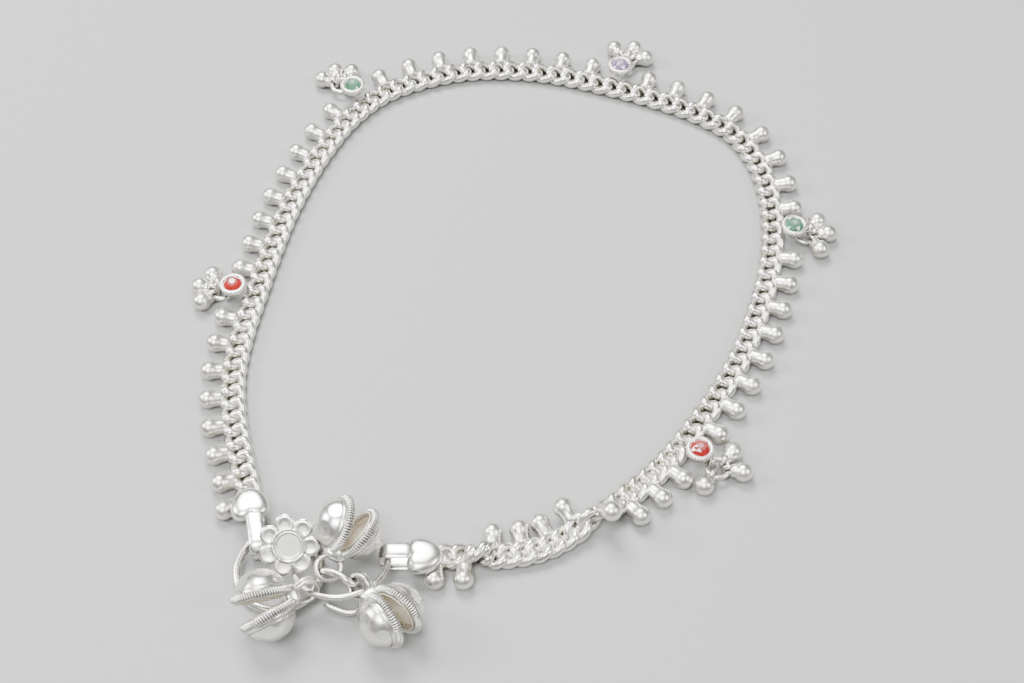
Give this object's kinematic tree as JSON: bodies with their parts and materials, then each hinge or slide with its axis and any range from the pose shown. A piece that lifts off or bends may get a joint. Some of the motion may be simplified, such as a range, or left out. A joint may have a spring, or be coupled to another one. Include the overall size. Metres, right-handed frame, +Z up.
{
  "type": "anklet",
  "caption": "Silver anklet lying in a loop: flat curb chain with ball drops, stone-set stations with drop clusters, heart end plates, ring clasp with a flower and split bells.",
  "frame": {"origin": "middle of the bounding box at the level of the surface that the anklet lies on", "axes": "+Z up from that surface, +Y across the loop from the clasp to the far stations, +X to the right with the clasp nearest on the left"},
  "size_m": [0.098, 0.1118, 0.0114],
  "materials": {
    "silver": "polished silver, a little worn",
    "bright_silver": "mirror-polished silver with milled rims",
    "bell_inside": "matte unpolished silver inside the bells",
    "red_stone": "cut red glass",
    "green_stone": "cut green glass",
    "violet_stone": "cut violet glass"
  },
  "bodies": {
    "root": {"curb_chain_left": "silver", "curb_chain_right": "silver", "setting_1_red_left": "silver", "jump_ring_1": "silver", "cluster_drop_1_1": "silver", "cluster_drop_1_2": "silver", "cluster_drop_1_3": "silver", "setting_2_green_left": "silver", "jump_ring_2": "silver", "cluster_drop_2_1": "silver", "cluster_drop_2_2": "silver", "cluster_drop_2_3": "silver", "setting_3_violet_top": "silver", "jump_ring_3": "silver", "cluster_drop_3_1": "silver", "cluster_drop_3_2": "silver", "cluster_drop_3_3": "silver", "setting_4_green_right": "silver", "jump_ring_4": "silver", "cluster_drop_4_1": "silver", "cluster_drop_4_2": "silver", "cluster_drop_4_3": "silver", "setting_5_red_right": "silver", "jump_ring_5": "silver", "cluster_drop_5_1": "silver", "cluster_drop_5_2": "silver", "cluster_drop_5_3": "silver", "bell_top": "bright_silver", "bell_left": "bright_silver", "bell_right": "bright_silver", "heart_plate_left": "bright_silver", "heart_plate_right": "bright_silver", "flower_clasp_ring": "silver", "link_ring": "silver", "clasp_hook": "silver"}
  },
  "joints": []
}
